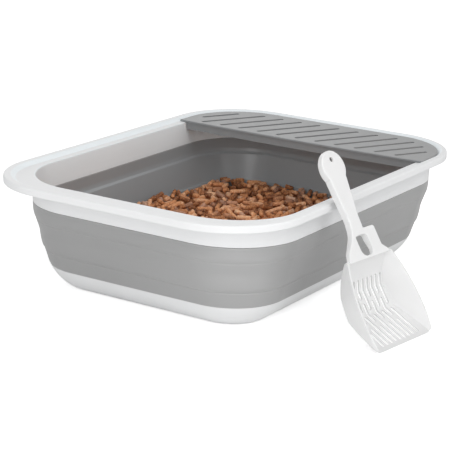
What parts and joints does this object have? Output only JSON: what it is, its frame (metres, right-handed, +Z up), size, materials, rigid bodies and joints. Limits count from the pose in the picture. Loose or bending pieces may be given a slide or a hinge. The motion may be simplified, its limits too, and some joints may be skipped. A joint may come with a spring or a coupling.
{
  "type": "foldable litter box",
  "caption": "Folding cat litter box with rigid rim and base, soft folding wall, lift-out grille platform, litter scoop and a bed of wood pellets.",
  "frame": {"origin": "on the floor under the base, below the centre of the rim's outer edge", "axes": "+Z up; +Y along the box towards the end with the grille platform; +X the side that the scoop leans on"},
  "size_m": [0.4874, 0.516, 0.1909],
  "materials": {
    "white_plastic": "satin moulded",
    "scoop_plastic": "semi-gloss moulded",
    "soft_grey": "smooth soft moulding",
    "platform_grey": "fine matte",
    "wood_pellets": "pressed wood"
  },
  "bodies": {
    "base": {"base_tray": "white_plastic", "wall_lower_panel": "soft_grey", "litter_bed": "wood_pellets"},
    "rim": {"rim_frame": "white_plastic", "wall_upper_panel": "soft_grey"},
    "wall": {"wall_middle_panel": "soft_grey"},
    "platform": {"grille_platform": "platform_grey"},
    "scoop": {"litter_scoop": "scoop_plastic"}
  },
  "joints": [
    {"name": "fold", "type": "slide", "parent": "base", "child": "rim", "axis": [0, 0, -1], "range_m": [0, 0.073]},
    {"name": "wall_fold", "type": "slide", "parent": "base", "child": "wall", "axis": [0, 0, -1], "range_m": [0, 0.0365]},
    {"name": "platform_lift", "type": "slide", "parent": "rim", "child": "platform", "axis": [0, 0, 1], "range_m": [0, 0.2]},
    {"name": "scoop_lift", "type": "slide", "parent": "base", "child": "scoop", "axis": [0, 0, 1], "range_m": [0, 0.25]}
  ],
  "couplings": [
    {"joint": "wall_fold", "follows": "fold", "ratio": 0.5}
  ]
}
